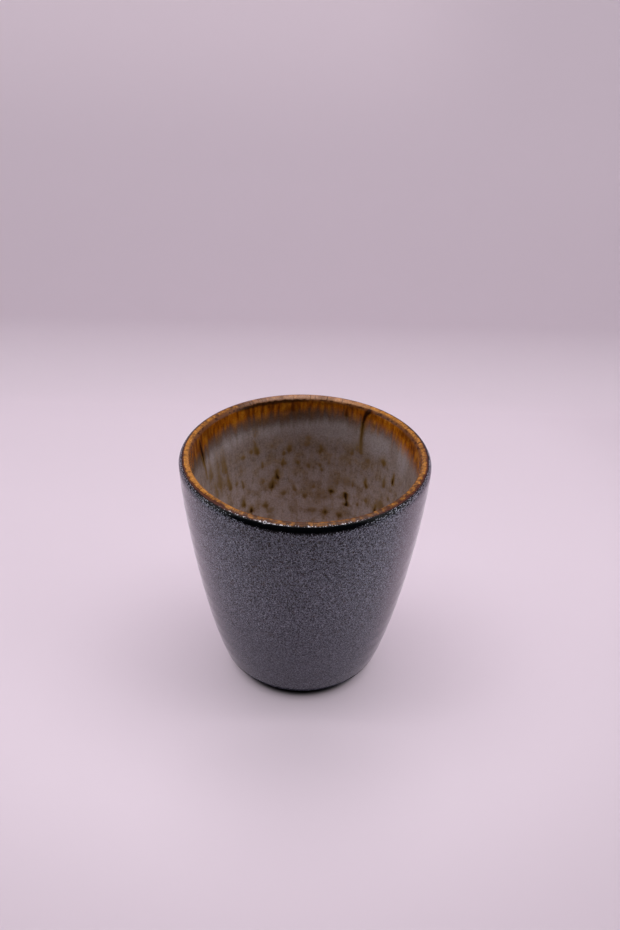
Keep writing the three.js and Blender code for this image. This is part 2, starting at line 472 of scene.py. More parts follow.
# Runs and smears of brown in the glaze inside: degrees round from the back and to the right, millimetres
# from the rim down to the tip, length, width, strength from olive at 0.3 to nearly black at 1, and how far
# the run leans to the left for each millimetre up
brownRuns = [
    (30.9, 18.0, 6.0, 2.6, 0.3, 0.0),
    (22.4, 5.6, 4.4, 1.4, 0.75, 0.0),
    (-7.0, 5.2, 4.2, 1.4, 0.6, 0.0),
    (-29.0, 13.6, 6.0, 1.8, 0.3, 0.0),
    (-17.0, 31.6, 4.2, 1.5, 1.0, 0.0),
    (-21.2, 35.0, 5.0, 2.0, 0.8, -0.2),
    (-13.2, 26.4, 2.8, 1.5, 0.65, 0.0),
    (-12.8, 22.6, 2.2, 1.3, 0.55, 0.0),
    (-19.6, 19.2, 2.0, 1.8, 0.3, 0.0),
    (-26.0, 26.2, 3.0, 1.3, 0.5, 0.0),
    (-26.6, 32.4, 3.2, 2.2, 0.35, 0.0),
    (-50.2, 29.8, 9.0, 1.7, 0.55, 0.06),
    (-44.8, 29.6, 2.6, 1.2, 0.4, 0.0),
    (-40.2, 31.6, 3.6, 1.1, 0.6, 0.1),
    (-41.6, 38.6, 3.0, 1.5, 0.7, 0.0),
    (-36.9, 42.0, 2.4, 1.5, 1.2, 0.0),
    (-25.8, 41.8, 1.8, 2.2, 0.55, 0.5),
    (-23.2, 44.4, 2.2, 4.4, 0.35, 0.0),
    (-14.0, 38.2, 2.2, 2.4, 0.5, -0.4),
    (-5.7, 36.8, 3.0, 1.4, 0.5, 0.3),
    (0.5, 39.6, 2.4, 2.0, 0.5, 0.2),
    (-9.1, 21.4, 3.0, 2.0, 0.6, 0.0),
    (-28.6, 20.4, 6.0, 1.6, 0.6, 0.2),
    (-32.0, 19.4, 1.8, 1.5, 0.5, 0.0),
    (-38.3, 20.6, 1.8, 1.6, 0.45, 0.0),
    (-4.3, 26.2, 1.6, 1.3, 0.5, 0.0),
    (2.0, 27.8, 2.4, 2.0, 0.45, 0.0),
    (0.8, 19.4, 3.6, 3.0, 0.35, 0.0),
    (8.4, 21.6, 3.8, 1.6, 0.62, -0.1),
    (9.0, 27.0, 2.0, 1.6, 0.45, 0.0),
    (9.9, 28.6, 1.8, 1.2, 0.5, 0.0),
    (5.4, 35.6, 3.0, 1.2, 0.4, -0.2),
    (14.1, 25.6, 5.0, 1.7, 0.35, -0.1),
    (27.6, 20.0, 3.0, 1.3, 0.4, 0.0),
    (27.5, 24.0, 2.4, 1.4, 0.3, 0.0),
    (38.7, 21.0, 3.0, 2.6, 0.35, 0.0),
    (49.6, 18.6, 2.8, 2.2, 0.6, 0.1),
    (40.0, 30.2, 3.8, 1.4, 0.75, 0.25),
    (53.0, 26.4, 5.2, 1.4, 0.55, 0.0),
    (60.0, 23.0, 4.4, 1.0, 1.1, 0.0),
    (17.2, 36.4, 1.7, 1.7, 0.9, 0.0),
    (30.5, 32.0, 3.0, 1.3, 0.45, 0.0),
    (26.5, 32.6, 5.0, 5.0, 0.27, 0.0),
    (18.0, 34.4, 6.0, 5.0, 0.22, 0.0),
    (12.2, 40.0, 4.0, 5.0, 0.22, 0.0),
    (36.1, 38.6, 2.0, 1.4, 0.5, 0.0),
    (41.7, 35.8, 2.2, 1.4, 0.45, 0.0),
    (50.2, 37.6, 3.6, 1.5, 0.9, 0.1),
    (53.5, 35.4, 4.6, 4.2, 0.35, 0.0),
    (14.2, 45.0, 2.2, 1.7, 0.75, 0.0),
    (24.3, 45.4, 2.6, 2.6, 0.65, 0.0),
    (19.2, 45.6, 2.2, 5.0, 0.3, 0.0),
    (5.6, 45.0, 2.0, 4.0, 0.4, 0.0),
    (59.6, 29.8, 1.8, 1.4, 0.5, 0.0),
    (-53.9, 21.5, 8.0, 1.4, 0.4, 0.0),
    (-62.5, 29.0, 8.0, 2.0, 0.35, 0.0),
    (1.5, 17.4, 3.0, 2.4, 0.35, 0.0),
    (-58.0, 27.0, 16.0, 3.6, 0.35, 0.0),
    (-52.0, 23.0, 12.0, 2.6, 0.35, 0.0),
    (-64.5, 21.0, 11.0, 2.8, 0.35, 0.0),
]
# Long drips, two of them from the lip, by rows down their length: millimetres below the rim, degrees round,
# width, strength
longDrips = [
    [
        (0.3, 35.2, 2.4, 0.8), (1.2, 34.9, 2.6, 1.15), (2.4, 33.7, 1.6, 1.15), (3.8, 32.7, 1.2, 1.1),
        (6.0, 32.3, 1.1, 0.95), (9.0, 32.1, 1.0, 0.8), (12.0, 32.1, 1.0, 0.68), (15.0, 32.5, 1.3, 0.56),
        (18.0, 33.2, 1.7, 0.46), (19.0, 33.4, 1.0, 0.0),
    ],
    [
        (34.4, 26.5, 0.8, 0.0), (35.2, 26.7, 1.5, 0.95), (36.6, 27.0, 1.6, 1.0), (37.8, 27.9, 0.8, 0.85),
        (38.7, 28.5, 1.0, 0.95), (39.4, 28.3, 1.7, 1.05), (39.9, 28.1, 1.6, 0.9), (40.3, 28.1, 1.0, 0.0),
    ],
    [
        (0.6, -72.9, 0.8, 0.0), (3.0, -72.1, 1.2, 0.75), (6.0, -71.2, 1.4, 1.1), (9.5, -70.4, 1.4, 1.15),
        (11.5, -70.1, 1.1, 0.85), (14.0, -69.8, 1.0, 0.5), (19.0, -69.2, 0.9, 0.38), (20.5, -69.2, 0.5, 0.0),
    ],
]
# Runs where the camera doesn't see: the range of each of a run's values, in the order above
unseenRuns = {
    "count": 120,
    "seed": 41,
    "ranges": [(76.0, 282.0), (14.0, 62.0), (2.0, 6.0), (1.1, 2.4), (0.25, 1.0), (-0.2, 0.2)],
}
runShape = {
    "soft": 0.25,  # softness of a run's edge, and the share of the half width that is added to it
    "softShare": 0.75,
    "smearSpread": 2.4,  # how much wider the smear round it is
    "taper": 0.5,  # how much the stem thins upwards, and how much it fades
    "fade": 0.5,
    "shortest": 0.1,  # length of a stem at the least
    "reach": 12.0,  # a run is drawn this far to each side
    "wander": 1.0,  # how far the edges stray, over what length, and how much of it in the long drips
    "wanderLength": 1.4,
    "dripWander": 0.3,
    "wanderSeed": 44,
}


def allRuns():
    # the runs above, and seeded ones of the same kind over the rest of the inside
    rng = np.random.default_rng(unseenRuns["seed"])
    spread = [rng.uniform(*ends, unseenRuns["count"]) for ends in unseenRuns["ranges"]]
    return brownRuns + np.stack(spread, axis=1).tolist()


def turnFrom(turn, degrees):
    # angle from a place round the cup, between half a turn back and half a turn on
    return (turn - np.radians(degrees) + math.pi) % (2 * math.pi) - math.pi


def runMasks(turn, below, radius):
    # union of teardrops with a round tip and a stem that thins upwards, and of the long drips: the run
    # itself, and a wider, softer smear round it. half is the half width at each height above the tip, and a
    # mask falls off where across, the distance from the middle, passes it
    core, smear = np.zeros(turn.shape), np.zeros(turn.shape)
    masks = ((core, 1.0), (smear, runShape["smearSpread"]))
    cells = int(2 * math.pi * rimRadius / runShape["wanderLength"])
    noise = clouds(turn, below, cells, runShape["wanderLength"], runShape["wanderSeed"])
    stray = runShape["wander"] * (noise - 0.5)
    for degrees, tip, length, width, strength, lean in allRuns():
        away = turnFrom(turn[0], degrees)
        near = np.flatnonzero(np.abs(away) * rimRadius < runShape["reach"])
        above = tip - below[:, near]
        across = np.abs(away[near] * radius[:, near] + lean * above + stray[:, near] * min(width / 2, 1))
        for mask, spread in masks:
            full = width / 2 * spread
            soft = runShape["soft"] + runShape["softShare"] * full
            top = length + width * (spread - 1)
            fromTip = above + width * (spread - 1) / 4
            share = np.clip((fromTip - full) / (top - full + runShape["shortest"]), 0, 1)
            tipRound = np.sqrt(np.clip(1 - (np.minimum(fromTip, full) / full - 1) ** 2, 0, 1))
            half = full * tipRound * (1 - runShape["taper"] * share)
            fading = (1 - runShape["fade"] * share) * (1 - ease(fromTip, top - soft, top + soft))
            value = strength * fading * ease(half - across, -soft, soft) * (fromTip > -soft)
            mask[:, near] = np.maximum(mask[:, near], value)
    for rows in longDrips:
        drop, degrees, width, strength = np.array(rows).T
        away = turnFrom(turn, np.interp(below, drop, degrees))
        across = np.abs(away * radius + runShape["dripWander"] * stray)
        strong = np.interp(below, drop, strength, left=0, right=0)
        for mask, spread in masks:
            half = np.interp(below, drop, width) / 2 * spread
            soft = runShape["soft"] + runShape["softShare"] * half
            np.maximum(mask, strong * ease(half - across, -soft, soft), out=mask)
    return core, smear


# Pale, milky places in the glaze inside: degrees round, millimetres below the rim, half width, half height,
# strength
palePatches = [
    (44.0, 11.5, 5.0, 5.0, 1.0),
    (64.0, 11.0, 4.0, 9.0, 0.9),
    (54.0, 22.0, 3.0, 9.0, 0.4),
    (-49.0, 10.5, 4.5, 5.0, 0.65),
    (-38.0, 10.5, 5.0, 5.0, 0.6),
    (-21.0, 12.0, 6.0, 4.0, 0.6),
    (0.0, 12.0, 9.0, 4.0, 0.75),
    (20.0, 12.0, 8.0, 4.0, 0.7),
    (-63.0, 13.0, 4.0, 7.0, 0.8),
    (-60.0, 25.0, 3.0, 9.0, 0.2),
    (12.0, 24.0, 4.0, 5.0, 0.35),
    (-32.0, 26.0, 6.0, 6.0, 0.3),
    (38.0, 31.0, 6.0, 6.0, 0.35),
    (-45.0, 40.0, 7.0, 7.0, 0.4),
    (0.0, 47.0, 12.0, 3.0, 0.5),
    (40.0, 41.0, 5.0, 5.0, 0.4),
]
# Lip coat and liner: one glaze, amber where it is thin over the lip and grey where it is thick
insideCoat = {
    "columns": 640,
    "lipRows": 0.12,
    "lipBackRows": 0.72,
    "upperRows": 0.42,
    "upperEnd": 52.0,  # along the section, as far as the camera sees from above
    "bowlRows": 2.0,
    "backRows": 4.5,
    "bead": (-0.4, 0.9, 2.5, 8.0),  # along the section: the thicker lip begins, is full, lessens and ends
    "runsFrom": (0.4, 1.3),  # along the section, where the runs begin to show and show in full
    "runHeight": 0.14,
    "raisedFrom": (1.0, 3.0),  # and where they begin to stand up
    "swell": 0.1,
    "swellCells": (26, 9.0, 55),  # how many go round the cup, their height and their seed
    "swellFrom": (0.5, 1.5),  # in shares of the length to the seam, where swell and rings begin and are full
    "floorFade": (14.0, 6.0),  # from the middle of the floor, where they fade and are gone
    "milk": 0.25,  # faint pale clouds all over
    "milkCells": (30, 8.0, 53),
}


def insideMarks(along, turn):
    # values that the material reads: length from the crest and past the end of the amber, the values round
    # the cup, runs, smears and pale places, each of these a bell curve across and down
    radius, height = (np.interp(along, section["along"], section["face"][:, k]) for k in (0, 1))
    below = cupHeight - height
    runs, smear = runMasks(turn, below, radius)
    pale = insideCoat["milk"] * clouds(turn, along, *insideCoat["milkCells"])
    for degrees, depth, wide, high, strength in palePatches:
        across = turnFrom(turn, degrees) * radius
        pale += strength * np.exp(-((across / wide) ** 2 + ((below - depth) / high) ** 2))
    offLip = ease(along, *insideCoat["runsFrom"])
    marks = {"depth": along, "past": along - roundAt("amberEnd", turn)}
    marks |= {k: roundAt(k, turn) for k in ("veil", "crest", "wide", "edge", "burnt", "line", "sparks")}
    return marks | {"runs": runs * offLip, "smear": smear * offLip, "pale": pale}


def insideLift(along, turn, runs):
    # how far the glaze stands off its even thickness: a thicker lip in front, raised runs, and slow thick and
    # thin places with the throwing rings
    begins, full, lessens, ends = insideCoat["bead"]
    bead = roundAt("bead", turn) * ease(along, begins, full) * (1 - ease(along, lessens, ends))
    swell = insideCoat["swell"] * (clouds(turn, along, *insideCoat["swellCells"]) - 0.5) + rings(turn, along)
    fadeFrom, fadeTo = (floorMiddle - v for v in insideCoat["floorFade"])
    growFrom, growTo = (innerSeam * v for v in insideCoat["swellFrom"])
    settled = ease(along, growFrom, growTo) * (1 - ease(along, fadeFrom, fadeTo))
    raised = insideCoat["runHeight"] * runs * ease(along, *insideCoat["raisedFrom"])
    return bead + swell * settled + raised


def makeInsideCoat(name, faceRows, backRows, poles, seam):
    # the back along the clay and the face over it, both shifted to the wavy outer seam where seam is 1
    turn = np.linspace(0, 2 * math.pi, insideCoat["columns"], endpoint=False)[None, :]
    shift = lambda rows: seam * (1 - ease(rows, outerSeam, 0)) * (seamAt(turn) - outerSeam)
    along = faceRows[:, None] + shift(faceRows[:, None]) + 0 * turn
    backAlong = backRows[:, None] + shift(backRows[:, None]) + 0 * turn
    turned, backTurned = turn + 0 * along, turn + 0 * backAlong
    marks = insideMarks(along, turned)
    face = surface(along, turned, insideLift(along, turned, marks["runs"]))
    back = surface(backAlong, backTurned, 0, "clay")
    joined = {k: np.concatenate([np.zeros_like(backAlong), v]) for k, v in marks.items()}
    return addShell(name, np.concatenate([back, face]), poles, joined)


def makeLipCoat(settings):
    face = stack((outerSeam, innerSeam, settings["lipRows"]))
    back = stack((innerSeam, outerSeam, settings["lipBackRows"]))
    return makeInsideCoat("amber_lip_glaze", face, back, poles=False, seam=1)


def makeLiner(settings):
    upper = (innerSeam, settings["upperEnd"], settings["upperRows"])
    bowl = (settings["upperEnd"], floorMiddle, settings["bowlRows"])
    back = stack((floorMiddle, innerSeam, settings["backRows"]))
    return makeInsideCoat("grey_liner_glaze", stack(upper, bowl), back, poles=True, seam=0)


clayPiece = makeClayBody(clayBody)
outerPiece = makeOuterCoat(outerCoat)
lipPiece = makeLipCoat(insideCoat)
linerPiece = makeLiner(insideCoat)
for piece in (clayPiece, outerPiece, lipPiece, linerPiece):
    print(f"{piece.name}: {len(piece.data.polygons)} faces")


# Materials
def colour(hexValue):
    # sRGB hex to linear: c / 12.92 below 0.04045, and ((c + 0.055) / 1.055)^2.4 above
    parts = [int(hexValue[i:i + 2], 16) / 255 for i in (1, 3, 5)]
    return [c / 12.92 if c <= 0.04045 else ((c + 0.055) / 1.055) ** 2.4 for c in parts] + [1.0]


def put(tree, kind, links=None, **settings):
    # adds a node with its settings, and its values or links by socket
    node = tree.nodes.new("ShaderNode" + kind)
    for name, value in settings.items():
        setattr(node, name, value)
    for socket, value in (links or {}).items():
        if isinstance(value, bpy.types.NodeSocket):
            tree.links.new(value, node.inputs[socket])
        else:
            node.inputs[socket].default_value = value
    return node.outputs


def newMaterial(name, shades):
    material = bpy.data.materials.new(name)
    material.use_nodes = True
    material.node_tree.nodes.clear()
    return material, material.node_tree, {k: colour(v) for k, v in shades.items()}


def layOver(tree, base, shade, *limits):
    # a colour laid over another. Each limit is (value, low, high, most): a smooth step from 0 at low to most
    # at high, and the product of the steps is how much of the colour is laid
    share = 1.0
    for value, low, high, most in limits:
        step = put(tree, "MapRange", {
            "Value": value, "From Min": low, "From Max": high, "To Max": most,
        }, interpolation_type="SMOOTHSTEP")["Result"]
        share = put(tree, "Math", {0: step, 1: share}, operation="MULTIPLY")["Value"]
    return put(tree, "Mix", {0: share, 6: base, 7: shade}, data_type="RGBA")[2]


def layAll(tree, base, layers, shades, values):
    # layers of (shade, limit, limit ...) laid in turn, with their shades and values looked up by name
    for shade, *limits in layers:
        base = layOver(tree, base, shades[shade], *[(values[k], *steps) for k, *steps in limits])
    return base


# What stands in the seam between the dark glaze and the lip glaze: pale dots painted as the lamp's glints,
# and a bubble that burst and left a crater, with a painted highlight on its ring and painted shade in its pit
seamMarks = {
    # painted glints: the colour of pale dots standing in for the lamp's glints on the seam
    "crystal": "#e6e2ea",
    "glintNoise": (0.42, 0.0),  # mm across a patch, detail
    "glintFrom": (0.57, 0.63),  # of the noise, the higher the fewer
    "bubble": (-12.1, -39.57, 85.83),
    # painted highlight on the ring round the bubble's crater
    "ring": "#d8d4dc",
    "ringRadius": 0.46,
    "ringWidth": 0.2,
    # painted shade in the bubble's pit
    "pitShade": "#0c0807",
}


def markSeam(tree, place, base, glinting, inSeam):
    # painted glints where the noise is high within the seam, and the pit's painted shade and the ring's
    # painted
    # # highlight by their distance from the bubble
    size, detail = seamMarks["glintNoise"]
    noise = put(tree, "TexNoise", {"Vector": place, "Scale": 1 / (size * mm), "Detail": detail})["Fac"]
    glintDots = (noise, *seamMarks["glintFrom"], 1.0)
    base = layOver(tree, base, colour(seamMarks["crystal"]), glintDots, inSeam, (glinting, 0, 1, 1.0))
    away = put(tree, "VectorMath", {
        0: place, 1: [v * mm for v in seamMarks["bubble"]],
    }, operation="DISTANCE")["Value"]
    radius, width = seamMarks["ringRadius"] * mm, seamMarks["ringWidth"] * mm
    # painted shade in the pit, then a painted highlight on the ring round it
    base = layOver(tree, base, colour(seamMarks["pitShade"]), (away, radius, radius - width, 1.0))
    onRing = (away, radius - width, radius, 1.0), (away, radius + width, radius, 1.0)
    return layOver(tree, base, colour(seamMarks["ring"]), *onRing)


# Iron glaze, fired dark: black glass with a close web of blue-grey crystals under its smooth face, except on
# the shoulder of the lip, where it ran thin and stayed black
darkGlaze = {
    "shades": {
        "glass": "#050609",
        "crystal": "#797d8d",
        "fleck": "#c0c2d0",
        # a pinkish tint for the painted sheen on the sides
        "frost": "#7e6f7c",
        "rust": "#4a3a2c",
        "settled": "#464650",
        "seam": "#2a1613",
    },
    # shades over the glass, by noises, mm past the ragged upper edge of the crystals, mm above the table, and
    # depth, which is mm along the section from the crest of the lip
    "layers": [
        ("crystal", ("grain", 0.41, 0.51, 1.0), ("dots", 0.2, 0.4, 1.0), ("ragged", 0.3, -0.3, 1.0)),
        ("fleck", ("grain", 0.56, 0.7, 0.9), ("ragged", 0.3, -0.3, 1.0)),
        ("rust", ("blotch", 0.6, 0.7, 0.5), ("ragged", 0.3, -0.3, 1.0)),
        ("frost", ("frost", 0.0, 1.0, 0.8), ("ragged", 0.3, -0.3, 1.0)),  # painted sheen on the sides, where the glaze mirrors the pale paper
        ("settled", ("height", 72.0, 12.0, 0.6)),  # the crystals run together towards the foot
        ("glass", ("height", 5.0, 3.8, 0.9)),  # painted shade: black where the glaze rolls under near the table
        ("seam", ("depth", -1.05, -0.8, 1.0)),
    ],
    "inSeam": (-1.05, -0.8, 1.0),
    # mm across a patch, detail and roughness of each noise. The pebbles are bumps on the shoulder, which
    # break the lamp's glint into dots
    "noises": {"grain": (0.38, 1.5, 0.5), "blotch": (2.2, 3.0, 0.6), "pebbles": (0.5, 0.0, 0.5)},
    "dot": 1.1,  # mm between the black dots
    "ragged": 7.5,  # mm that the upper edge of the crystals strays, and how much less in front
    "raggedLess": 3.0,
    "pebbleHeight": 0.06,
    "ior": 1.5,
    # from one depth to another: share of the bumps, specular level, roughness
    "alongLip": {
        "bumps": (-7.0, -2.0, 0.0, 1.0),
        "gloss": (-4.2, -3.2, 0.3, 0.1),
        "rough": (-1.3, -1.0, 0.1, 0.5),
    },
}


def makeDarkGlaze(settings):
    material, tree, shades = newMaterial("dark_crystal_glaze", settings["shades"])
    place = put(tree, "TexCoord")["Object"]
    names = ("depth", "past", "frost", "sparks")
    values = {k: put(tree, "Attribute", attribute_name=k)["Fac"] for k in names}
    up = put(tree, "SeparateXYZ", {"Vector": place})["Z"]
    values["height"] = put(tree, "Math", {0: up, 1: 1 / mm}, operation="MULTIPLY")["Value"]
    for name, (size, detail, roughness) in settings["noises"].items():
        values[name] = put(tree, "TexNoise", {
            "Vector": place, "Scale": 1 / (size * mm), "Detail": detail, "Roughness": roughness,
        })["Fac"]
    values["dots"] = put(tree, "TexVoronoi", {
        "Vector": place, "Scale": 1 / (settings["dot"] * mm),
    })["Distance"]
    swing = put(tree, "Math", {
        0: values["sparks"], 1: settings["raggedLess"], 2: -settings["ragged"],
    }, operation="MULTIPLY_ADD")["Value"]
    centred = put(tree, "Math", {0: values["grain"], 1: 0.5}, operation="SUBTRACT")["Value"]
    values["ragged"] = put(tree, "Math", {
        0: centred, 1: swing, 2: values["past"],
    }, operation="MULTIPLY_ADD")["Value"]
    base = layAll(tree, shades["glass"], settings["layers"], shades, values)
    # painted glints, and the bubble's painted highlight and shade, in the seam
    base = markSeam(tree, place, base, values["sparks"], (values["depth"], *settings["inSeam"]))
    lip = {
        k: put(tree, "MapRange", {
            "Value": values["depth"], "From Min": low, "From Max": high, "To Min": first, "To Max": last,
        }, interpolation_type="SMOOTHSTEP")["Result"]
        for k, (low, high, first, last) in settings["alongLip"].items()
    }
    bump = put(tree, "Bump", {
        "Height": values["pebbles"], "Strength": lip["bumps"], "Distance": settings["pebbleHeight"] * mm,
    })["Normal"]
    shader = put(tree, "BsdfPrincipled", {
        "Base Color": base, "Roughness": lip["rough"], "Normal": bump, "IOR": settings["ior"],
        "Specular IOR Level": lip["gloss"],
    })["BSDF"]
    put(tree, "OutputMaterial", {"Surface": shader})
    return material


# Rutile glaze: glassy, breaking to ochre on the crest of the lip and to amber where it is thin below it, and
# to a milky grey with olive-brown runs where it is thick on the wall
rutileGlaze = {
    "shades": {
        "grey": "#8f7e79",
        "pale": "#a79b9d",
        # a paler tint for the painted light further down inside
        "deep": "#af9d9b",
        "stain": "#7a5c2c",
        "fleck": "#57452f",
        "veil": "#43321f",
        "olive": "#5f4416",
        "run": "#2a0f01",
        "amber": "#b06009",
        "honey": "#c47c1c",
        "burnt": "#582904",
        "ochre": "#a66c2c",
        # a pale pinkish tint for the painted sheen on the back of the crest
        "backSheen": "#b98f78",
        "straw": "#c48c46",
        "brown": "#4a2c1c",
        "edge": "#47211a",
        "umber": "#643d25",
        "crack": "#3c2015",
        "line": "#1c0c04",
        "speck": "#30190d",
        "seam": "#241210",
    },
    # sums that the layers follow: first times a factor, and second
    "sums": {
        "milky": ("streak", 0.8, "pale"),
        "ragged": ("streak", 4.0, "past"),  # mm past the end of the amber, which is ragged by the streaks
        "shoulder": ("mottle", 1.0, "depth"),  # mm from the crest, uneven by the mottle
        "crestEdge": ("wide", -1.0, "shoulder"),
        "brownEdge": ("edge", -1.0, "shoulder"),
        "bright": ("mottle", 1.5, "crest"),
        "worn": ("grain", 0.4, "runs"),
    },
    "thinLayers": [  # over the amber
        ("burnt", ("streak", 0.48, 0.66, 0.75)),
        ("honey", ("streak", 0.52, 0.36, 0.9)),
        ("burnt", ("burnt", 0.0, 1.0, 0.8)),
        ("burnt", ("cloud", 0.5, 0.64, 0.5)),
    ],
    "crestLayers": [  # over the brown
        ("ochre", ("bright", 1.25, 2.0, 1.0)),
        ("straw", ("grain", 0.52, 0.68, 0.6), ("bright", 1.4, 2.0, 1.0)),
        # painted sheen on the crest at the back, where it mirrors the bright backdrop
        ("backSheen", ("back", 0.0, 1.0, 0.6)),
        ("brown", ("cloud", 0.5, 0.62, 0.5), ("back", 0.0, 1.0, 1.0)),
        ("crack", ("crack", 0.58, 0.66, 0.65)),
        ("edge", ("brownEdge", 0.7, 0.3, 0.92)),
    ],
    "layers": [  # over the grey
        ("pale", ("milky", 0.55, 1.35, 0.9)),
        ("deep", ("depth", 16.0, 46.0, 1.0)),  # painted light: paler further down inside, where less light reaches
        ("stain", ("cloud", 0.48, 0.66, 0.5), ("depth", 13.0, 24.0, 1.0)),
        ("fleck", ("mottle", 0.5, 0.7, 0.3), ("depth", 11.0, 18.0, 1.0)),
        ("stain", ("streak", 0.5, 0.64, 0.2), ("depth", 13.0, 20.0, 1.0)),
        ("pale", ("streak", 0.48, 0.36, 0.2), ("depth", 13.0, 20.0, 1.0)),
        ("stain", ("smear", 0.05, 0.9, 0.6)),
        ("thin", ("ragged", 5.6, -1.4, 1.0)),
        ("veil", ("ragged", -1.5, 2.0, 0.6), ("ragged", 7.6, 3.0, 1.0), ("veil", 0.0, 1.0, 1.0)),
        ("umber", ("shoulder", 3.5, 2.4, 0.9)),  # between the crest and the amber
        ("speck", ("mottle", 0.5, 0.62, 0.8), ("depth", 0.9, 1.3, 1.0), ("depth", 2.4, 1.9, 1.0)),
        ("line", ("shoulder", 2.0, 2.5, 0.85), ("shoulder", 3.9, 3.0, 1.0), ("line", 0.0, 1.0, 1.0)),
        ("stain", ("worn", 0.24, 0.6, 0.7), ("ragged", 0.5, 3.0, 1.0)),
        ("olive", ("worn", 0.5, 0.95, 0.85), ("ragged", 0.5, 3.0, 1.0)),
        ("burnt", ("worn", 0.3, 0.8, 0.85), ("ragged", 3.0, 0.5, 1.0)),
        ("run", ("worn", 0.72, 1.12, 0.95)),
        ("crown", ("crestEdge", 1.95, 1.2, 1.0)),
        ("seam", ("shoulder", 0.0, -0.3, 1.0)),
    ],
    "inSeam": (0.05, -0.1, 1.0),
    "streakNoise": (1.7, 8.0, 3.0),  # mm across and along a streak, detail
    "crackNoise": (0.9, 2.0),  # mm across a patch, detail
    "noises": {"mottle": (1.5, 3.0), "cloud": (4.5, 3.0), "grain": (0.55, 3.0), "pebbles": (1.2, 1.0)},
    "back": (30.0, 41.0),  # mm behind the axis, where the crest grows paler with painted sheen
    "fine": (0.3, 0.7, 0.8, 1.2),  # low and high of the grain, and how much it darkens and brightens there
    "rough": (0.3, -0.1, 0.2, 0.5),  # on the shoulder and in the seam, and the roughness there
    "gloss": 0.1,  # specular level
    "ior": 1.52,
    "pebbleHeight": 0.03,
}


def makeRutileGlaze(settings):
    material, tree, shades = newMaterial("rutile_glaze", settings["shades"])
    place = put(tree, "TexCoord")["Object"]
    names = (
        "depth", "past", "veil", "crest", "wide", "edge", "burnt", "line", "sparks", "runs", "smear", "pale",
    )
    values = {k: put(tree, "Attribute", attribute_name=k)["Fac"] for k in names}
    # streaks run down the wall: fast round the axis and slow in height
    level = put(tree, "VectorMath", {0: place, 1: (1, 1, 0)}, operation="MULTIPLY")["Vector"]
    circle = put(tree, "VectorMath", {0: level}, operation="NORMALIZE")["Vector"]
    width, length, detail = settings["streakNoise"]
    rise = put(tree, "VectorMath", {0: place, 1: (0, 0, 1 / (length * mm))}, operation="MULTIPLY")["Vector"]
    turns = rimRadius / width
    streakPlace = put(tree, "VectorMath", {
        0: circle, 1: (turns, turns, 0), 2: rise,
    }, operation="MULTIPLY_ADD")["Vector"]
    values["streak"] = put(tree, "TexNoise", {"Vector": streakPlace, "Scale": 1.0, "Detail": detail})["Fac"]
    size, detail = settings["crackNoise"]
    values["crack"] = put(tree, "TexNoise", {
        "Vector": circle, "Scale": rimRadius / size, "Detail": detail,
    })["Fac"]
    for name, (size, detail) in settings["noises"].items():
        values[name] = put(tree, "TexNoise", {
            "Vector": place, "Scale": 1 / (size * mm), "Detail": detail,
        })["Fac"]
    for name, (first, times, second) in settings["sums"].items():
        values[name] = put(tree, "Math", {
            0: values[first], 1: times, 2: values[second],
        }, operation="MULTIPLY_ADD")["Value"]
    toBack = put(tree, "SeparateXYZ", {"Vector": place})["Y"]
    nearer, further = (v * mm for v in settings["back"])
    values["back"] = put(tree, "MapRange", {
        "Value": toBack, "From Min": nearer, "From Max": further,
    })["Result"]
    shades["thin"] = layAll(tree, shades["amber"], settings["thinLayers"], shades, values)
    shades["crown"] = layAll(tree, shades["brown"], settings["crestLayers"], shades, values)
    base = layAll(tree, shades["grey"], settings["layers"], shades, values)
    # painted glints, and the bubble's painted highlight and shade, in the seam
    base = markSeam(tree, place, base, values["sparks"], (values["shoulder"], *settings["inSeam"]))
    low, high, darker, brighter = settings["fine"]
    fine = put(tree, "MapRange", {
        "Value": values["grain"], "From Min": low, "From Max": high, "To Min": darker, "To Max": brighter,
    })["Result"]
    base = put(tree, "VectorMath", {0: base, "Scale": fine}, operation="SCALE")["Vector"]
    bump = put(tree, "Bump", {
        "Height": values["pebbles"], "Distance": settings["pebbleHeight"] * mm,
    })["Normal"]
    onLip, inSeam, smooth, dry = settings["rough"]
    rough = put(tree, "MapRange", {
        "Value": values["shoulder"], "From Min": onLip, "From Max": inSeam, "To Min": smooth, "To Max": dry,
    }, interpolation_type="SMOOTHSTEP")["Result"]
    shader = put(tree, "BsdfPrincipled", {
        "Base Color": base, "Roughness": rough, "Normal": bump, "IOR": settings["ior"],
        "Specular IOR Level": settings["gloss"],
    })["BSDF"]
    put(tree, "OutputMaterial", {"Surface": shader})
    return material


# Stoneware fired bare: a dry, sandy buff with darker grit
stoneware = {
    "shades": {"clay": "#9a8068", "dark": "#6e5846", "grit": "#3a2c22"},
    "noises": {"mottle": (6.0, 6.0), "sand": (0.35, 3.0)},  # mm across a patch, detail
    "gritSize": 0.9,
    "gritEdge": (0.16, 0.08, 1.0),
    "sandHeight": 0.04,
    "roughness": 0.9,
    "ior": 1.5,
}


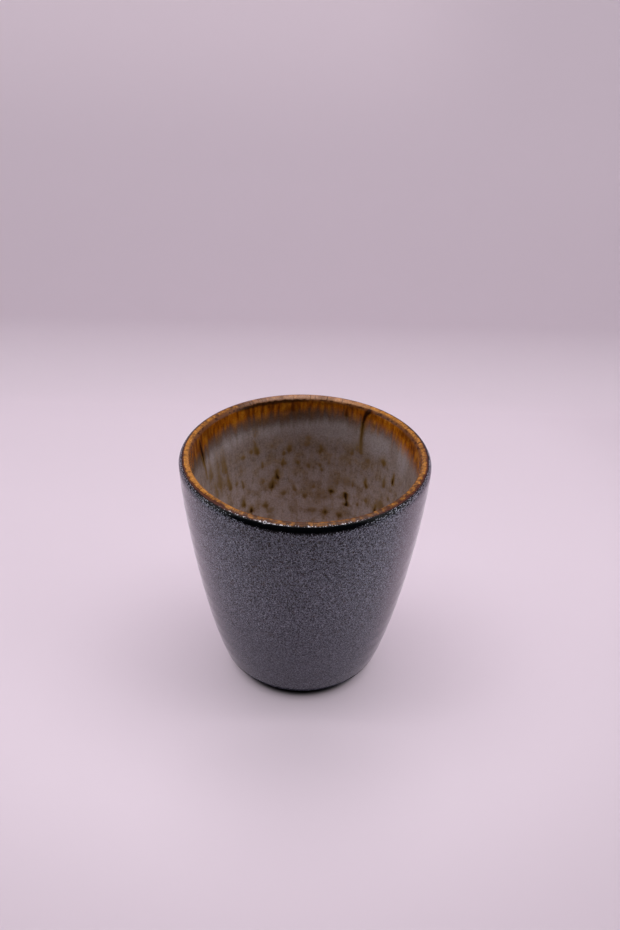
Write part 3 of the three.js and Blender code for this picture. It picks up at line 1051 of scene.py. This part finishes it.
def makeStoneware(settings):
    material, tree, shades = newMaterial("bare_stoneware", settings["shades"])
    place = put(tree, "TexCoord")["Object"]
    mottle, sand = (
        put(tree, "TexNoise", {"Vector": place, "Scale": 1 / (size * mm), "Detail": detail})["Fac"]
        for size, detail in settings["noises"].values()
    )
    grit = put(tree, "TexVoronoi", {"Vector": place, "Scale": 1 / (settings["gritSize"] * mm)})["Distance"]
    base = put(tree, "Mix", {0: mottle, 6: shades["dark"], 7: shades["clay"]}, data_type="RGBA")[2]
    base = layOver(tree, base, shades["grit"], (grit, *settings["gritEdge"]))
    bump = put(tree, "Bump", {"Height": sand, "Distance": settings["sandHeight"] * mm})["Normal"]
    shader = put(tree, "BsdfPrincipled", {
        "Base Color": base, "Roughness": settings["roughness"], "Normal": bump, "IOR": settings["ior"],
    })["BSDF"]
    put(tree, "OutputMaterial", {"Surface": shader})
    return material


rutile = makeRutileGlaze(rutileGlaze)
dressing = [
    (clayPiece, makeStoneware(stoneware), "stoneware_body", "stoneware"),
    (outerPiece, makeDarkGlaze(darkGlaze), "outer_glaze", "dark_glaze"),
    (lipPiece, rutile, "lip_glaze", "amber_glaze"),
    (linerPiece, rutile, "liner_glaze", "grey_glaze"),
]
for piece, material, node, slot in dressing:
    piece.data.materials.append(material)
    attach(piece, "root")
    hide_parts(node)
print("pieces dressed")


# Stage: a pale paper sweep that is open from behind and below, with painted shade, shadow and light on the
# paper,
# # and soft light from above
studio = {
    # the paper, and the shades of the painted shade, light and shadow laid on it
    "shades": {"paper": "#e0d0dd", "paintedShade": "#c5b6c2", "bright": "#eddce9", "dark": "#000000"},
    "front": -900.0,
    "bendStart": 180.0,
    "bendRadius": 32.0,
    "bendSteps": 24,
    "top": 700.0,
    "halfWidth": 800.0,
    # places on the paper that its shades are measured from
    "places": {
        "fromBrightest": (-20.0, 90.0, 0.0),
        "fromShaded": (0.0, -72.0, 0.0),
        "fromFoot": (0.0, -1.0, 0.0),
        "fromAxis": (0.0, 0.0, 0.0),
    },
    "layers": [  # painted shade, shadow and light over the paper, by millimetres
        ("paintedShade", ("fromBrightest", 140.0, 260.0, 0.9), ("y", 200.0, 160.0, 1.0)),  # painted shade on the floor nearest the camera, away from the brightest place
        ("paintedShade", ("fromShaded", 55.0, 0.0, 0.42)),  # painted shadow of the cup, in front of it
        ("paintedShade", ("z", 130.0, 50.0, 0.15), ("y", 160.0, 200.0, 1.0)),  # painted shade low on the wall
        ("bright", ("z", 110.0, 190.0, 1.0), ("x", 100.0, 20.0, 1.0), ("y", 160.0, 200.0, 1.0)),  # painted light high up on the wall
        ("dark", ("fromPaintedShadow", 23.8, 21.0, 1.0)),  # painted shadow under the cup
    ],
    "darkMirrored": 4.0,  # how much further the painted shadow under the cup reaches in what the cup mirrors
    "paperGlow": 0.38,  # share of the paper's look that takes no shadow, as on a lit sheet
    "glowFrom": 20.5,  # under the cup it takes the shadow in full
    "glowFull": 27.0,
    "openTo": 16.0,  # within the foot ring light comes through the paper to the underside
    "paperEnd": -158.0,  # in front the paper ends here for the cup, which mirrors nothing beyond it
    "roughness": 0.95,
    "gloss": 0.1,
    # light tent: how far it is to each side, how wide the blend between two sides is, and how bright they are
    "tentReach": {"left": 300.0, "right": 200.0, "front": 100.0, "roof": 420.0},
    "tentEdge": 0.0012,  # in shares of the direction for each millimetre
    "glow": {"roof": 1.2, "left": 1.66, "right": 1.66, "front": 0.02},
    "lamps": {
        "backLight": {
            "place": (0.0, 150.0, 600.0), "aim": (0.0, 150.0, 0.0), "size": (600.0, 200.0), "watts": 1.6,
        },
        "stripLight": {
            "place": (0.0, -75.0, 600.0), "aim": (0.0, -75.0, 0.0), "size": (500.0, 20.0), "watts": 0.8,
        },
    },
}


def makeSweep(settings):
    # profile of the floor, a quarter round and the wall, carried across the width
    start, radius = settings["bendStart"], settings["bendRadius"]
    bend = arc((start, radius), radius, -90, 0, settings["bendSteps"])
    profile = np.concatenate([[[settings["front"], 0]], bend, [[start + radius, settings["top"]]]])
    across = settings["halfWidth"] * np.array([[-1.0, 1.0]])
    deep, high = profile[:, :1], profile[:, 1:]
    points = np.stack([across + 0 * deep, deep + 0 * across, high + 0 * across], axis=-1).reshape(-1, 3)
    first = np.arange(len(profile) - 1) * 2
    faces = np.stack([first, first + 1, first + 3, first + 2], axis=-1)
    mesh = bpy.data.meshes.new("paper_sweep")
    mesh.from_pydata((points * mm).tolist(), [], faces.tolist())
    mesh.shade_smooth()
    sweep = bpy.data.objects.new("paper_sweep", mesh)
    bpy.context.scene.collection.objects.link(sweep)
    mesh.materials.append(makePaper(settings))


def makePaper(settings):
    # matt paper, part of it lit evenly for the camera and for what the cup mirrors
    material, tree, shades = newMaterial("matt_paper", settings["shades"])
    rays = put(tree, "LightPath")
    camera = rays["Is Camera Ray"]
    unseen = put(tree, "Math", {0: 1.0, 1: camera}, operation="SUBTRACT")["Value"]
    metres = put(tree, "TexCoord")["Object"]
    point = put(tree, "VectorMath", {0: metres, "Scale": 1 / mm}, operation="SCALE")["Vector"]
    parts = put(tree, "SeparateXYZ", {"Vector": point})
    values = {"x": parts["X"], "y": parts["Y"], "z": parts["Z"]}
    for name, spot in settings["places"].items():
        values[name] = put(tree, "VectorMath", {0: point, 1: spot}, operation="DISTANCE")["Value"]
    values["fromPaintedShadow"] = put(tree, "Math", {
        0: unseen, 1: -settings["darkMirrored"], 2: values["fromFoot"],
    }, operation="MULTIPLY_ADD")["Value"]
    # the paper with its painted shade, light and shadow
    sheet = layAll(tree, shades["paper"], settings["layers"], shades, values)
    beyond = put(tree, "Math", {0: values["y"], 1: settings["paperEnd"]}, operation="LESS_THAN")["Value"]
    ended = put(tree, "Math", {0: beyond, 1: unseen}, operation="MULTIPLY")["Value"]
    sheet = put(tree, "Mix", {0: ended, 6: sheet, 7: shades["dark"]}, data_type="RGBA")[2]
    paper = put(tree, "BsdfPrincipled", {
        "Base Color": sheet, "Roughness": settings["roughness"], "Specular IOR Level": settings["gloss"],
    })["BSDF"]
    lit = put(tree, "Emission", {"Color": sheet})["Emission"]
    glow = put(tree, "MapRange", {
        "Value": values["fromFoot"], "From Min": settings["glowFrom"], "From Max": settings["glowFull"],
        "To Max": settings["paperGlow"],
    }, interpolation_type="SMOOTHSTEP")["Result"]
    seen = put(tree, "Math", {0: camera, 1: rays["Is Glossy Ray"]}, operation="MAXIMUM")["Value"]
    share = put(tree, "Math", {0: seen, 1: glow}, operation="MULTIPLY")["Value"]
    paper = put(tree, "MixShader", {0: share, 1: paper, 2: lit})["Shader"]
    behind = put(tree, "NewGeometry")["Backfacing"]
    hidden = put(tree, "Math", {0: behind, 1: camera}, operation="MULTIPLY")["Value"]
    inRing = put(tree, "Math", {0: values["fromAxis"], 1: settings["openTo"]}, operation="LESS_THAN")["Value"]
    through = put(tree, "Math", {0: inRing, 1: unseen, 2: hidden}, operation="MULTIPLY_ADD")["Value"]
    clear = put(tree, "BsdfTransparent")["BSDF"]
    both = put(tree, "MixShader", {0: through, 1: paper, 2: clear})["Shader"]
    put(tree, "OutputMaterial", {"Surface": both})
    return material


def addLamp(name, settings):
    lamp = bpy.data.lights.new(name, "AREA")
    lamp.shape = "RECTANGLE"
    lamp.size, lamp.size_y = (v * mm for v in settings["size"])
    lamp.energy = settings["watts"]
    holder = bpy.data.objects.new(name, lamp)
    bpy.context.scene.collection.objects.link(holder)
    holder.location = [v * mm for v in settings["place"]]
    way = Vector(settings["aim"]) - Vector(settings["place"])
    holder.rotation_euler = way.to_track_quat("-Z", "Y").to_euler()
    holder.visible_camera = False


def makeTent(settings):
    # light from all round, as inside a white tent: each direction takes the glow of the side, roof or open
    # front that it meets first, which is the one with the largest share of the direction over its distance
    world = bpy.data.worlds.new("light_tent")
    world.use_nodes = True
    tree = world.node_tree
    tree.nodes.clear()
    way = put(tree, "SeparateXYZ", {"Vector": put(tree, "TexCoord")["Generated"]})
    ways = {"left": (way["X"], -1), "right": (way["X"], 1), "front": (way["Y"], -1), "roof": (way["Z"], 1)}
    reach = {
        side: put(tree, "Math", {
            0: part, 1: sign / settings["tentReach"][side],
        }, operation="MULTIPLY")["Value"]
        for side, (part, sign) in ways.items()
    }
    furthest, glow = reach["roof"], settings["glow"]["roof"]
    for side in ("left", "right", "front"):
        over = put(tree, "Math", {0: reach[side], 1: furthest}, operation="SUBTRACT")["Value"]
        share = put(tree, "MapRange", {
            "Value": over, "From Min": -settings["tentEdge"], "From Max": settings["tentEdge"],
        }, interpolation_type="SMOOTHSTEP")["Result"]
        glow = put(tree, "Mix", {0: share, 2: glow, 3: settings["glow"][side]}, data_type="FLOAT")[0]
        furthest = put(tree, "Math", {0: reach[side], 1: furthest}, operation="MAXIMUM")["Value"]
    light = put(tree, "Background", {"Color": (1, 1, 1, 1), "Strength": glow})["Background"]
    seen = put(tree, "Background", {"Color": colour(settings["shades"]["paper"])})["Background"]
    camera = put(tree, "LightPath")["Is Camera Ray"]
    put(tree, "OutputWorld", {"Surface": put(tree, "MixShader", {0: camera, 1: light, 2: seen})["Shader"]})
    bpy.context.scene.world = world


makeSweep(studio)
for name, settings in studio["lamps"].items():
    addLamp(name, settings)
makeTent(studio)
bpy.context.scene.view_settings.view_transform = "Standard"
print("stage and light set")
